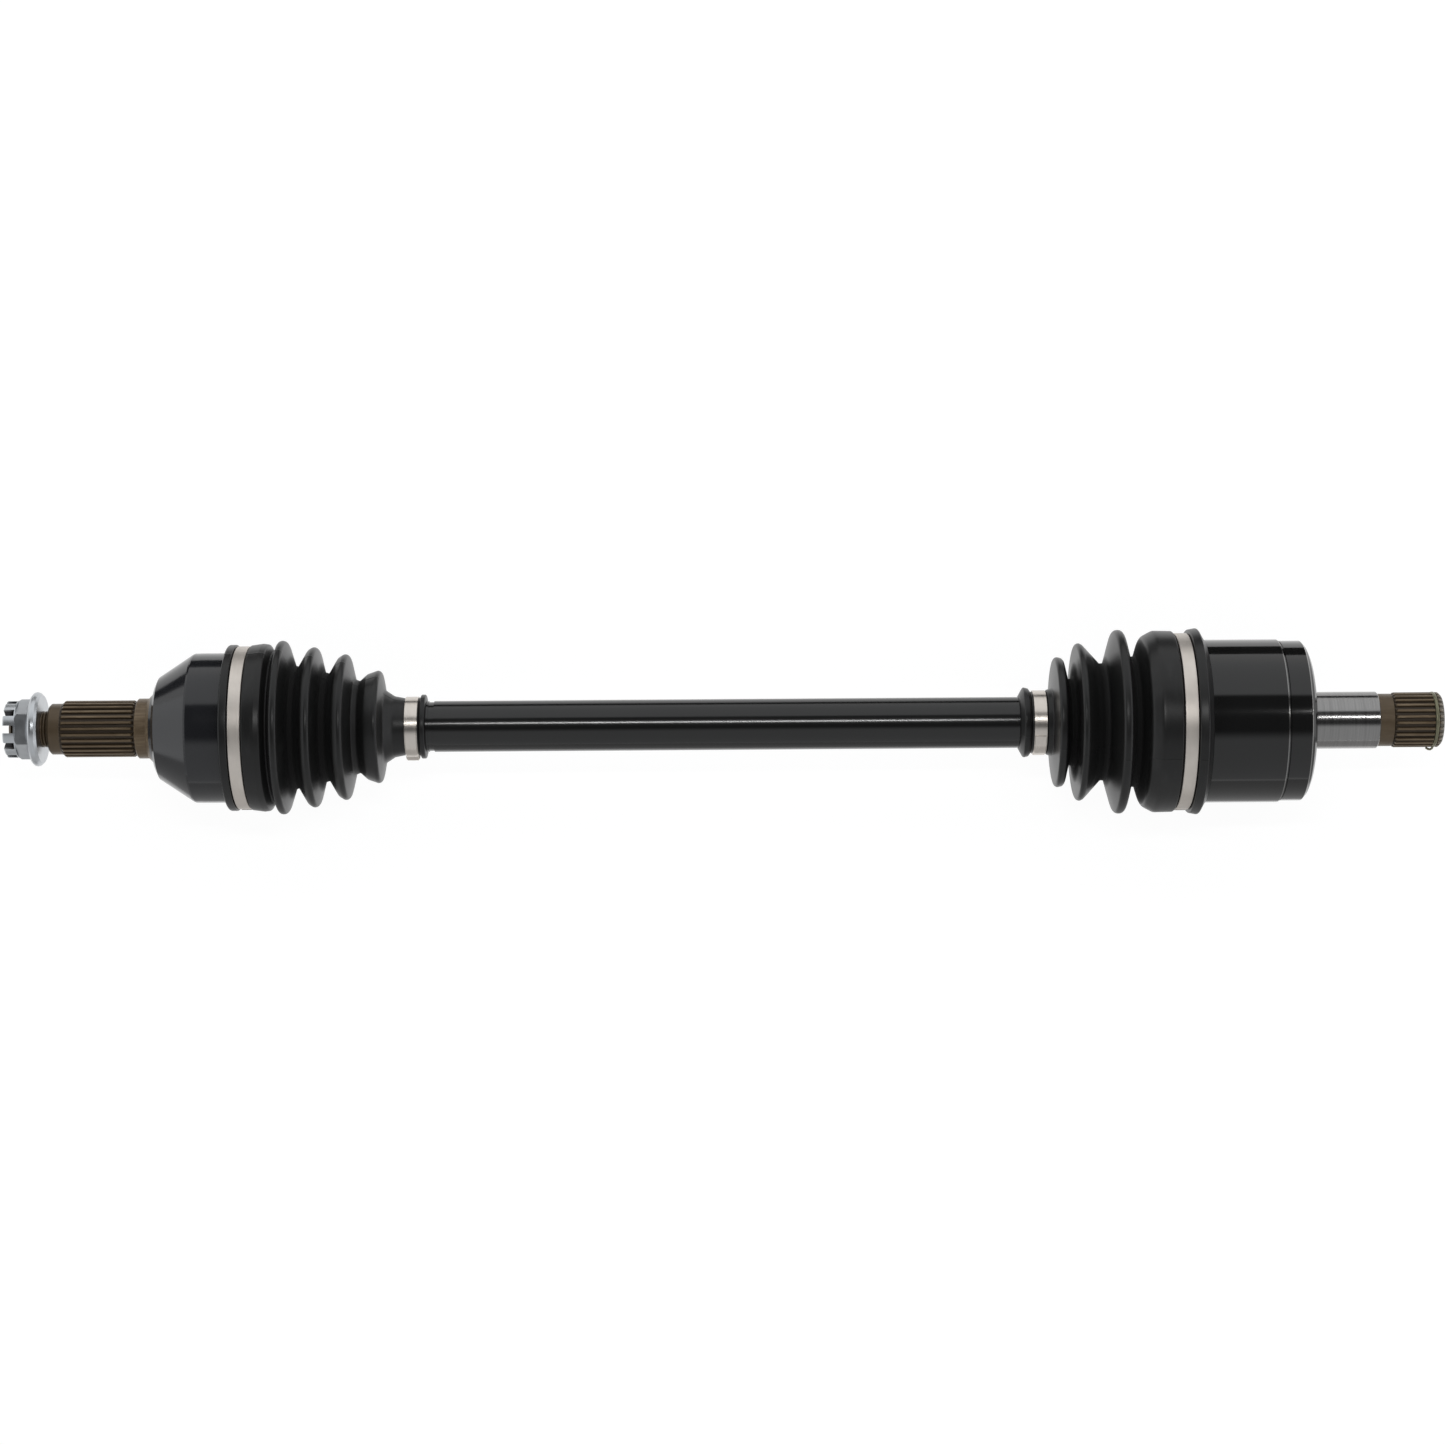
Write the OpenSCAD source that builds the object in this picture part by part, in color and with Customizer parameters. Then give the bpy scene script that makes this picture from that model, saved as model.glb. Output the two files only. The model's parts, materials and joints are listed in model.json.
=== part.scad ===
// Constant-velocity drive axle with a fixed outer ball joint and a plunging inner ball joint.
// Millimetres. The axle lies along X: the wheel end is at -X, the differential end at +X, +Z is up.
// The origin is on the axle's axis, midway between its two ends.
// Each joint is drawn in its own frame: the joint's centre at 0, the bar towards +X, the stub
// towards -X. The outer joint stands that way round, and the inner joint is its mirror image.

/* [Axle] */
// Length from the nut's crown to the tip of the inner stub
axle_length = 715.4; // [700:0.2:740]
// Diameter of the bar where it shows
bar_d = 25.5; // [24:0.1:26]
// Diameter of the bar's necks and of the splines at their ends
neck_d = 22; // [21:0.1:22.2]
// Teeth of the splines between the bar and the inner races
race_teeth = 22; // [18:1:26]

/* [Ball joints] */
// Radius of the circle on which the outer joint's balls lie
outer_pitch_r = 26; // [25.8:0.1:26.2]
// Diameter of the outer joint's balls
outer_ball_d = 14; // [13.5:0.1:14]
// Radius of the circle on which the inner joint's balls lie
inner_pitch_r = 28.5; // [28.2:0.1:28.7]
// Diameter of the inner joint's balls
inner_ball_d = 15.8; // [15:0.1:15.8]

/* [Outer housing] */
// Distance from the outer joint's centre to the end of the nut
outer_reach = 112.4; // [110:0.2:114]
// Outer diameter of the bell
bell_d = 74.8; // [74:0.1:75.4]
// Diameter over the outer spline's teeth
outer_spline_d = 28.2; // [27.6:0.1:28.4]
// Number of teeth on the outer spline
outer_teeth = 28; // [24:1:30]
// Diameter of the thread for the axle nut
thread_d = 18; // [17:0.1:18.4]

/* [Axle nut] */
// Width across the nut's flats
nut_flats = 26; // [25:0.1:27]
// Diameter of the nut's flange
flange_d = 37.2; // [36:0.1:37.6]
// Number of slots in the nut's crown
crown_slots = 10; // [6:1:10]

/* [Inner housing] */
// Distance from the inner joint's centre to the tip of its stub
inner_reach = 109; // [108:1:112]
// Outer diameter of the cup
cup_d = 81.4; // [80.6:0.1:82]
// Diameter of the ground journal
journal_d = 28.4; // [28:0.1:28.6]
// Diameter over the inner spline's teeth
inner_spline_d = 27.4; // [27:0.1:27.6]
// Number of teeth on the inner spline
inner_teeth = 27; // [24:1:30]

/* [Boots] */
// Wall thickness of the rubber in the folds
rubber_wall = 1.5; // [1.2:0.1:1.6]
// Thickness of the large clamps' band
band = 0.9; // [0.6:0.1:1]

/* [Hidden] */
$fn = 96;

// Fits and clearances
running_gap = 0.05;   // between a part and the one it slides on
sphere_gap = 0.1;     // between the cage and the two spherical faces it turns on
track_gap = 0.3;      // between a ball and the bottom of its track
eps = 1;              // how far a cutter runs past the face it opens

// Where the two joints' centres lie
outer_x = -axle_length / 2 + outer_reach;
inner_x = axle_length / 2 - inner_reach;

// Bar
bar_r = bar_d / 2;
neck_r = neck_d / 2;
neck_out = 36;        // from the outer joint's centre to the end of the bar's neck
neck_in = 56;         // the same at the inner joint
taper = 4;            // length of the cone between neck and bar
race_overhang = 3.5;  // how far the bar's splined end stands past the inner race
clip_wire = 0.9;      // radius of the race circlips' wire
boot_groove = 0.5;    // depth of the groove that locates the outer boot's small end

// Ball joints: cage and race, by the radius of the ball circle p and of the ball b
ball_count = 6;
outer_b = outer_ball_d / 2;
inner_b = inner_ball_d / 2;
function race_r(p) = p - 3 - sphere_gap;
function cage_inner_r(p) = p - 3;
function cage_outer_r(p) = p + 2;
function cup_bore_r(p) = p + 2 + 1.5 * sphere_gap;
function cage_half(b) = b + 4;
function track_r(b) = b + 1.6;
window_slack = 1;     // how much longer than a ball, each way round, a cage window is

// Outer housing, as distances from the joint's centre
bell_rim = 13;
bell_shoulder = -18;
nose_x = -37.2;
nose_r = 25.9;
seat_r = 15;
seat_x = [-47, -41.5];
face_inner_r = 19.5;
outer_spline_x = [-84.5, -47.5];
collar_x = [-91, -85];
collar_r = 12.7;
thread_end = -outer_reach + 2;
thread_pitch = 1.5;

// Axle nut, as distances from the joint's centre
nut_seat = -95;
flange_thick = 5.2;
crown_x = -106.6;
crown_r = 14.2;
slot_w = 3.8;

// Inner housing, as distances from the joint's centre
cup_rim = 35;
cup_floor = -33.5;
cup_step = -27.5;
cup_end = -38.5;
stop_ring_x = 32;
stop_ring_wire = 1.3;
journal_x = [-77.2, -45];
undercut_x = [-84.3, -77.2];
undercut_r = 13.1;
inner_spline_x = [-inner_reach, -84.5];
inner_core_r = 12.2;  // of the stub under the spline's teeth
circlip_x = -105.4;
circlip_wire = 1;     // radius of the wire
circlip_floor_r = 11.9;

// Small ends of the boots: clamp seats and clamps
outer_small_seat = [86.5, 93.5];
inner_small_seat = [88, 95];
outer_seat_r = 14.3;
inner_seat_r = 15.3;
outer_large_seat = [3, 9.6];
inner_large_seat = [17.4, 24.3];
outer_band_r = 39.8;
inner_band_r = 43.2;

// Outline of each boot, from its large end to its small end: [distance, radius, rounding]
outer_boot_outline = [
    [-1.6, 38.4, 0], [-1.3, 41.5, 1.2], [2.6, 41.5, 0.6], [2.9, outer_band_r, 0.3],
    [9.7, outer_band_r, 0.3], [10.1, 41.2, 0.5], [16, 42, 2.4], [18.7, 41.6, 1.2],
    [21.4, 36.8, 0.7], [23.9, 43.4, 1.8], [26.9, 43.4, 2], [31, 31.2, 1], [33.4, 30.3, 1.2],
    [38.4, 38.8, 3], [42.2, 41.2, 2], [45.8, 27.7, 0.9], [48.7, 26.8, 1.2],
    [53.4, 34.8, 3], [57.8, 37.6, 2], [61.2, 24, 0.9], [63.8, 22.9, 1.2],
    [67.6, 26.4, 4], [74.2, 28.7, 1.8], [76.3, 18.4, 2.6], [81, 15.3, 3], [86.2, outer_seat_r, 0.4],
    [93.8, outer_seat_r, 0.4], [94.6, 16, 0.6], [96.7, 16, 0.8], [97.2, bar_r + 0.6, 0]
];
inner_boot_outline = [
    [9.6, cup_d / 2 + 0.4, 0], [11.4, 44, 1.2], [12.8, 46.6, 1], [17, 45.8, 0.6],
    [17.3, inner_band_r, 0.3], [24.4, inner_band_r, 0.3], [25.2, 45.2, 0.7],
    [34.6, 45.4, 4], [40.2, 42.4, 4], [43.3, 32.7, 1], [46.3, 32.5, 1],
    [49.9, 45.9, 2.2], [53.8, 45.9, 2.2], [58.7, 29.4, 1], [61.2, 29.2, 1.4],
    [70, 38.8, 2.5], [73, 40.2, 1.6], [73.9, 22.4, 0.8], [76.9, 21.3, 1],
    [79.6, 32, 2], [83.6, 32.8, 1.6], [85.1, 17, 0.8], [87.6, 16.2, 0.4],
    [87.9, inner_seat_r, 0.3], [95.6, inner_seat_r, 0.3], [96.8, 17, 0.4],
    [99.2, 17.6, 1], [101.6, bar_r + 0.6, 0]
];

// ---------- shared shapes ----------

// Places a joint's parts at the outer or the inner end of the axle.
module at_outer() { translate([outer_x, 0, 0]) children(); }
module at_inner() { translate([inner_x, 0, 0]) mirror([1, 0, 0]) children(); }

// A closed outline of [distance along X, radius] points, turned about the X axis.
module turned(outline) {
    rotate([0, 90, 0]) rotate_extrude() polygon([for (p = outline) [p.y, p.x]]);
}

// A plain round bar from one distance along X to another.
module rod(r, from, to) {
    translate([from, 0, 0]) rotate([0, 90, 0]) cylinder(r = r, h = to - from);
}

// A ring of round wire about the X axis, open over the given angle at its -Y side.
module wire_ring(x, r, wire, opening) {
    translate([x, 0, 0]) rotate([0, 90, 0]) rotate([0, 0, -90 + opening / 2])
        rotate_extrude(angle = 360 - opening) translate([r, 0]) circle(r = wire, $fn = 32);
}

// A turned blank with straight spline teeth cut along it; both ends are chamfered below the roots.
module splined(teeth, r, depth, from, to) {
    step = 360 / teeth;
    chamfer = depth + 0.2;
    points = [for (i = [0 : teeth - 1]) each [
        [i * step - 0.30 * step, r - depth], [i * step - 0.16 * step, r],
        [i * step + 0.16 * step, r], [i * step + 0.30 * step, r - depth]]];
    intersection() {
        translate([from, 0, 0]) rotate([0, 90, 0]) linear_extrude(to - from)
            polygon([for (p = points) p[1] * [cos(p[0]), sin(p[0])]]);
        turned([[from, 0], [from, r - chamfer], [from + chamfer, r + 0.01],
            [to - chamfer, r + 0.01], [to, r - chamfer], [to, 0]]);
    }
}

// A lathe centre drilled into an end face that looks towards -X.
module centre_drill(x) {
    turned([[x - eps, 0], [x - eps, 3 + eps], [x + 2.6, 0.8], [x + 5, 0.8], [x + 5, 0]]);
}

// Rounds the corner b of the path a, b, c with an arc of radius r.
function unit(v) = v / norm(v);
function corner(a, b, c, r, steps = 5) = let(
    u = unit(a - b), v = unit(c - b), half = acos(u * v) / 2,
    centre = b + unit(u + v) * r / sin(half),
    first = b + u * r / tan(half) - centre, last = b + v * r / tan(half) - centre,
    start = atan2(first.y, first.x), turn = atan2(last.y, last.x) - start,
    sweep = turn > 180 ? turn - 360 : turn < -180 ? turn + 360 : turn)
    [for (i = [0 : steps]) centre + r * [cos(start + sweep * i / steps), sin(start + sweep * i / steps)]];
function flat(p) = [p.x, p.y];
function rounded(outline) = [for (i = [0 : len(outline) - 1]) each
    outline[i].z == 0 ? [flat(outline[i])]
    : corner(flat(outline[i - 1]), flat(outline[i]), flat(outline[i + 1]), outline[i].z)];

// The same path moved towards the axis by t.
function inset(path, t) = [for (i = [0 : len(path) - 1]) let(
    along = unit(path[min(i + 1, len(path) - 1)] - path[max(i - 1, 0)]))
    path[i] + t * [along.y, -along.x]];

// ---------- ball joints ----------

// The section of a track is rounder than its ball, and stands off so that only its floor is close.
function stand_off(b) = track_r(b) - b - track_gap;

// The groove of one ball of radius b, curved about the joint's centre, from one angle to another
// as seen from the ball's place in mid-track. A positive shift puts the track's floor inside.
module curved_track(p, b, shift, from, to) {
    rotate([0, 0, 90 + from]) rotate_extrude(angle = to - from)
        translate([p + shift, 0]) circle(r = track_r(b), $fn = 48);
}

// Star-shaped inner race with a splined bore.
module race(p, b, first) {
    half = cage_half(b);
    difference() {
        intersection() {
            rotate([0, 90, 0]) sphere(r = race_r(p));
            rod(race_r(p) + eps, -half, half);
        }
        for (i = [0 : ball_count / 2 - 1]) rotate([first + i * 360 / ball_count, 0, 0])
            curved_track(p, b, stand_off(b), -90, 270);
        splined(race_teeth, neck_r + running_gap, 1, -half - 2 * eps, half + 2 * eps);
    }
}

// Cage: a spherical ring with one window for each ball.
module cage(p, b, first) {
    half = cage_half(b);
    reach = cage_outer_r(p) + eps;
    window = b + running_gap;
    difference() {
        intersection() {
            rotate([0, 90, 0]) sphere(r = cage_outer_r(p));
            rod(reach, -half, half);
        }
        rotate([0, 90, 0]) sphere(r = cage_inner_r(p));
        for (i = [0 : ball_count - 1])
            rotate([first + i * 360 / ball_count, 0, 0]) {
                for (side = [-1, 1])
                    translate([0, 0, side * window_slack]) rotate([-90, 0, 0])
                        cylinder(r = window, h = reach);
                translate([-window, 0, -window_slack]) cube([2 * window, reach, 2 * window_slack]);
            }
    }
}

module ball(p, b, angle) {
    rotate([angle, 0, 0]) translate([0, p, 0]) sphere(r = b);
}

// ---------- shaft ----------

// Half of the bar, from the axle's middle to the joint's race: neck, splined end, clip groove.
module bar_half(centre_to_middle, neck_end, half) {
    tip = -half - race_overhang;
    groove = -half - 0.2 - clip_wire;
    difference() {
        union() {
            turned([[half, 0], [half, neck_r], [neck_end, neck_r], [neck_end + taper, bar_r],
                [centre_to_middle, bar_r], [centre_to_middle, 0]]);
            splined(race_teeth, neck_r, 1, tip, half + 0.6);
        }
        rotate([0, 90, 0]) rotate_extrude() translate([neck_r, groove])
            circle(r = clip_wire + running_gap, $fn = 32);
        centre_drill(tip);
    }
}

module axle_shaft() {
    color("#151618") difference() {
        union() {
            at_outer() bar_half(-outer_x, neck_out, cage_half(outer_b));
            at_inner() bar_half(inner_x, neck_in, cage_half(inner_b));
        }
        at_outer() turned([[98.2, bar_r - boot_groove], [98.2, bar_r + eps], [101, bar_r + eps],
            [101, bar_r - boot_groove]]);
    }
}

// ---------- outer joint ----------

module outer_housing() {
    color("#1b1c1e") at_outer() difference() {
        union() {
            turned([[collar_x[0] + 1, 0], [collar_x[0], collar_r - 1], [collar_x[0] + 1, collar_r],
                [collar_x[1], collar_r], [outer_spline_x[0], outer_spline_d / 2 - 1.2],
                [outer_spline_x[1], outer_spline_d / 2 - 1.2], [seat_x[0], seat_r - 0.5],
                [seat_x[0] + 0.5, seat_r], [seat_x[1], seat_r], [seat_x[1] + 2, seat_r + 2.2],
                [nose_x, face_inner_r], [nose_x, nose_r - 3], [nose_x + 1.5, nose_r],
                [bell_shoulder - 1, bell_d / 2 - 0.5], [bell_shoulder, bell_d / 2 - 0.1],
                [bell_shoulder + 4, bell_d / 2], [bell_rim - 0.6, bell_d / 2],
                [bell_rim, bell_d / 2 - 0.6], [bell_rim, 0]]);
            splined(outer_teeth, outer_spline_d / 2, 1.2, outer_spline_x[0], outer_spline_x[1]);
            threaded_end();
        }
        rotate([0, 90, 0]) sphere(r = cup_bore_r(outer_pitch_r));
        bell_mouth();
        bell_tracks();
        centre_drill(thread_end);
    }
}

// The threaded end, with thread grooves as rings that lie inside the nut's plain bore.
module threaded_end() {
    difference() {
        turned([[thread_end, 0], [thread_end, thread_d / 2 - 1.2], [thread_end + 1.2, thread_d / 2],
            [collar_x[0] + 1.5, thread_d / 2], [collar_x[0] + 1.5, 0]]);
        for (x = [thread_end + 1.6 : thread_pitch : collar_x[0] - 0.8])
            turned([[x - 0.5, thread_d / 2 + 0.1], [x, thread_d / 2 - 0.75], [x + 0.5, thread_d / 2 + 0.1]]);
    }
}

// The bell's flared mouth, and its six tracks, which curve about the joint's centre.
module bell_mouth() {
    turned([[8.5, 0], [8.5, 26.6], [bell_rim, 28.5], [bell_rim + eps, 29], [bell_rim + eps, 0]]);
}
module bell_tracks() {
    for (i = [0 : ball_count - 1]) rotate([90 + i * 360 / ball_count, 0, 0])
        curved_track(outer_pitch_r, outer_b, -stand_off(outer_b), -50, 40);
}

module axle_nut() {
    corner_r = nut_flats / 2 / cos(30);
    color("#c9ccd0") at_outer() difference() {
        union() {
            turned([[-outer_reach, 0], [-outer_reach, crown_r - 0.6], [-outer_reach + 0.6, crown_r],
                [crown_x, crown_r], [crown_x, 0]]);
            intersection() {
                translate([crown_x, 0, 0]) rotate([90, 0, 0]) rotate([0, 90, 0])
                    cylinder(r = corner_r, h = nut_seat - crown_x, $fn = 6);
                turned([[crown_x, 0], [crown_x, crown_r], [crown_x + 1, corner_r],
                    [nut_seat, corner_r], [nut_seat, 0]]);
            }
            turned([[nut_seat - flange_thick - 1, 0], [nut_seat - flange_thick - 1, 13.2],
                [nut_seat - flange_thick, 15], [nut_seat - flange_thick + 0.8, flange_d / 2 - 1.1],
                [nut_seat - flange_thick + 1.8, flange_d / 2 - 0.2],
                [nut_seat - flange_thick + 2.8, flange_d / 2], [nut_seat - 1.2, flange_d / 2 - 0.4],
                [nut_seat, flange_d / 2 - 1.6], [nut_seat, 0]]);
        }
        rod(thread_d / 2 + running_gap, -outer_reach - eps, nut_seat + eps);
        for (i = [0 : crown_slots - 1]) rotate([(i + 0.5) * 360 / crown_slots, 0, 0])
            translate([-outer_reach - eps, thread_d / 2 - 1, -slot_w / 2])
                cube([outer_reach + crown_x + 0.6, crown_r, slot_w]);
    }
}

module outer_inner_race() {
    color("#8f9296") at_outer() race(outer_pitch_r, outer_b, 90);
}

module outer_race_circlip() {
    color("#a7a38e") at_outer()
        wire_ring(-cage_half(outer_b) - 0.2 - clip_wire, neck_r, clip_wire, 30);
}

module outer_cage() {
    color("#6d7074") at_outer() cage(outer_pitch_r, outer_b, 90);
}

module outer_ball(i) {
    color("#d5d8db") at_outer() ball(outer_pitch_r, outer_b, 90 + (i - 1) * 360 / ball_count);
}

// ---------- inner joint ----------

module inner_housing() {
    end_r = cup_d / 2 - 0.75;
    color("#141517") at_inner() difference() {
        union() {
            turned([[-inner_reach + 1, 0], [-inner_reach + 1, inner_core_r],
                [undercut_x[0], inner_core_r], [undercut_x[0], undercut_r],
                [undercut_x[1], undercut_r], [undercut_x[1] + 0.01, journal_d / 2 - 0.4],
                [journal_x[0] + 0.4, journal_d / 2], [journal_x[1], journal_d / 2],
                [cup_end - 4.9, 26.5], [cup_end - 4, 31.5], [cup_end - 2.9, 35.6],
                [cup_end - 1.6, 38.3], [cup_end, end_r], [cup_step - 0.8, end_r],
                [cup_step - 0.6, end_r - 0.5], [cup_step, end_r - 0.5],
                [cup_step + 0.4, cup_d / 2], [cup_rim - 1, cup_d / 2],
                [cup_rim, cup_d / 2 - 1], [cup_rim, 0]]);
            splined(inner_teeth, inner_spline_d / 2, 1.1, inner_spline_x[0], inner_spline_x[1]);
        }
        cup_hollow();
        centre_drill(-inner_reach);
        circlip_groove();
    }
}

// The cup's inside: a straight bore for the cage, six straight tracks and the stop ring's groove.
module cup_hollow() {
    rod(cup_bore_r(inner_pitch_r), cup_floor, cup_rim + eps);
    for (i = [0 : ball_count - 1]) rotate([i * 360 / ball_count, 0, 0])
        translate([0, inner_pitch_r - stand_off(inner_b), 0]) rod(track_r(inner_b), cup_floor, cup_rim + eps);
    turned([[cup_rim - 1.6, 0], [cup_rim - 1.6, cup_bore_r(inner_pitch_r)],
        [cup_rim + eps, cup_bore_r(inner_pitch_r) + 2.6], [cup_rim + eps, 0]]);
    rotate([0, 90, 0]) rotate_extrude() translate([ring_r(), stop_ring_x])
        circle(r = stop_ring_wire + running_gap, $fn = 32);
}
function ring_r() = cup_bore_r(inner_pitch_r) + 0.6;

// The square groove cut through the inner spline's teeth, just wider than its circlip.
module circlip_groove() {
    half = circlip_wire + 2 * running_gap;
    turned([[circlip_x - half, circlip_floor_r], [circlip_x - half, journal_d / 2 + eps],
        [circlip_x + half, journal_d / 2 + eps], [circlip_x + half, circlip_floor_r]]);
}

module stub_circlip() {
    color("#b9b08f") at_inner()
        wire_ring(circlip_x, circlip_floor_r + 2 * running_gap + circlip_wire, circlip_wire, 24);
}

module inner_stop_ring() {
    color("#a7a38e") at_inner() wire_ring(stop_ring_x, ring_r(), stop_ring_wire, 20);
}

module inner_race() {
    color("#8f9296") at_inner() race(inner_pitch_r, inner_b, 0);
}

module inner_race_circlip() {
    color("#a7a38e") at_inner()
        wire_ring(-cage_half(inner_b) - 0.2 - clip_wire, neck_r, clip_wire, 30);
}

module inner_cage() {
    color("#6d7074") at_inner() cage(inner_pitch_r, inner_b, 0);
}

module inner_ball(i) {
    color("#d5d8db") at_inner() ball(inner_pitch_r, inner_b, (i - 1) * 360 / ball_count);
}

// ---------- boots and clamps ----------

// A boot is one rubber shell: its folded wall, a sleeve on the housing and a sleeve on the bar.
module boot(outline, housing_r, rim_x, small_x) {
    outside = rounded(outline);
    start = outline[0].x;
    end = outline[len(outline) - 1].x;
    folds = [for (p = inset(outside, rubber_wall)) if (p.x > rim_x + 1 && p.x < small_x) p];
    turned(concat(outside, [[end, bar_r + running_gap], [small_x + 1, bar_r + running_gap]],
        [for (i = [len(folds) - 1 : -1 : 0]) folds[i]],
        [[rim_x + running_gap, housing_r - 0.8], [rim_x + running_gap, housing_r + running_gap],
            [start, housing_r + running_gap]]));
}

module outer_boot() {
    color("#202124") at_outer() boot(outer_boot_outline, bell_d / 2, bell_rim, 83);
}

module inner_boot() {
    color("#202124") at_inner() boot(inner_boot_outline, cup_d / 2, cup_rim, 86);
}

// A flat band round a boot, with a crimped ear on its -Y side when ear is true.
module clamp(x, r, thick, ear) {
    inside = r + 0.02;
    difference() {
        union() {
            rod(inside + thick, x[0] + 0.2, x[1] - 0.2);
            if (ear)
                translate([x[0] + 0.7, -inside - 1.9, -3])
                    cube([x[1] - x[0] - 1.4, 1.9, 6]);
            else
                translate([x[0] + 0.2, -inside - 0.9 * thick, -5])
                    cube([x[1] - x[0] - 0.4, thick, 10]);
        }
        rod(inside, x[0] - eps, x[1] + eps);
    }
}

module outer_large_clamp() {
    color("#a9a6a2") at_outer() clamp(outer_large_seat, outer_band_r, band, false);
}

module outer_small_clamp() {
    color("#a9a6a2") at_outer() clamp(outer_small_seat, outer_seat_r, 0.7, true);
}

module inner_large_clamp() {
    color("#a9a6a2") at_inner() clamp(inner_large_seat, inner_band_r, band, false);
}

module inner_small_clamp() {
    color("#a9a6a2") at_inner() clamp(inner_small_seat, inner_seat_r, 0.7, false);
}

axle_shaft();
outer_housing();
axle_nut();
outer_inner_race();
outer_race_circlip();
outer_cage();
for (i = [1 : ball_count]) outer_ball(i);
outer_boot();
outer_large_clamp();
outer_small_clamp();
inner_housing();
stub_circlip();
inner_stop_ring();
inner_race();
inner_race_circlip();
inner_cage();
for (i = [1 : ball_count]) inner_ball(i);
inner_boot();
inner_large_clamp();
inner_small_clamp();
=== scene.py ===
import json
import math

import bmesh
import bpy
from mathutils import Matrix, Vector


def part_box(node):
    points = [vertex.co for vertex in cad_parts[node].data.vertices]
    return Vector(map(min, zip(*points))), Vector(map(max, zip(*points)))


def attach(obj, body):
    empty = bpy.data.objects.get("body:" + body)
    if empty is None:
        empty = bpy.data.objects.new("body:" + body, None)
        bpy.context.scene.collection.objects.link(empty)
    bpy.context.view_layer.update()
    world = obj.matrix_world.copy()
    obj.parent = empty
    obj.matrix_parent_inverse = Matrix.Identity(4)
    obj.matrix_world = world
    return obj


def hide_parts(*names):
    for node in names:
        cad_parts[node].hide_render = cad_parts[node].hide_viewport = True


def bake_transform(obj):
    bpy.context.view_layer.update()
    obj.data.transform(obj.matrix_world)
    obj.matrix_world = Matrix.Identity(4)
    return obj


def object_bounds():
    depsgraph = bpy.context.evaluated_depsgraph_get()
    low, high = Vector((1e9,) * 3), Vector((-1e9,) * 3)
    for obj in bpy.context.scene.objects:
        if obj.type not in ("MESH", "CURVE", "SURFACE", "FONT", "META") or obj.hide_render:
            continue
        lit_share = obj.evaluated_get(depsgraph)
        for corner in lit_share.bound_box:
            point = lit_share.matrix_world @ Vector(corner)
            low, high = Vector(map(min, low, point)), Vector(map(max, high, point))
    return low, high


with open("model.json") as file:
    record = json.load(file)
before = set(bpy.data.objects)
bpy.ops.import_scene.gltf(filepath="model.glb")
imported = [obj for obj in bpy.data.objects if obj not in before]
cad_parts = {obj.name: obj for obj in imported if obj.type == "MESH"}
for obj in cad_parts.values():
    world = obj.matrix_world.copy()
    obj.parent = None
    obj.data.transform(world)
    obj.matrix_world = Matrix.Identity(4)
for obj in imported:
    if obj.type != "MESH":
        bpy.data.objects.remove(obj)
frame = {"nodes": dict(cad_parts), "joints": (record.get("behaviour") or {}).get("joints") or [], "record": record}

cad_low, cad_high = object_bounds()

# The axle lies along X. Each ball joint has its own frame, as in the CAD: u is the distance from
# the joint's centre, towards the bar, and r the distance from the axis, both in millimetres.
# Angles round the axis start at +Z, which faces the camera, and grow towards +Y.
MM = 0.001
joints = {j["name"]: j for j in frame["joints"]}
centre_x = {"outer": joints["outer_pitch_a"]["pos_m"][0], "inner": joints["inner_pitch_a"]["pos_m"][0]}
bar_way = {"outer": 1, "inner": -1}


def along(side, u):
    return centre_x[side] + bar_way[side] * u * MM


def local_u(side, x):
    return (x - centre_x[side]) * bar_way[side] / MM


# Sizes of the CAD parts that the new pieces sit on
bar_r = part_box("axle_shaft")[1].z / MM
bell_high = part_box("outer_housing")[1]
bell_r = bell_high.z / MM
bell_rim = local_u("outer", bell_high.x)
cup_low, cup_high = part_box("inner_housing")
cup_r = cup_high.z / MM
cup_rim = local_u("inner", cup_low.x)
clear = 0.05          # gap between a piece and what it is fitted on

# ---------- camera, lights and floor ----------

SENSOR = 36           # width in millimetres, as the lens
LENS = 77.394
CAMERA_PLACE = (-0.0006, 0.001, 1.5533)
CAMERA_ROLL = math.radians(-0.4)
FAR = 20              # how far the camera sees
LAMP_ANGLE = math.radians(13)
LAMP_DISTANCE = 1.5
REFLECTION_SHEET_HALF = 2         # half the length of a sheet that paints reflections
REFLECTION_SHEET_LIFT = 0.5       # height of a sheet that paints reflections over the floor, in millimetres
FLOOR_HALF = 6


def camera():
    """A long lens straight above the axle, which the picture shows lying level."""
    data = bpy.data.cameras.new("camera")
    data.sensor_width = SENSOR
    data.lens = LENS
    data.clip_end = FAR
    cam = bpy.data.objects.new("camera", data)
    cam.matrix_world = Matrix.Translation(CAMERA_PLACE) @ Matrix.Rotation(CAMERA_ROLL, 4, "Z")
    bpy.context.scene.collection.objects.link(cam)
    bpy.context.scene.camera = cam


def strip_light(name, x, length, width, power):
    """A long, narrow lamp parallel to the axle and above it, a little towards +Y."""
    data = bpy.data.lights.new(name, "AREA")
    data.shape = "RECTANGLE"
    data.size = length
    data.size_y = width
    data.energy = power
    lamp = bpy.data.objects.new(name, data)
    place = Vector((x, LAMP_DISTANCE * math.sin(LAMP_ANGLE), LAMP_DISTANCE * math.cos(LAMP_ANGLE)))
    lamp.matrix_world = Matrix.Translation(place) @ Matrix.Rotation(-LAMP_ANGLE, 4, "X")
    lamp.visible_camera = False
    bpy.context.scene.collection.objects.link(lamp)


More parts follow.
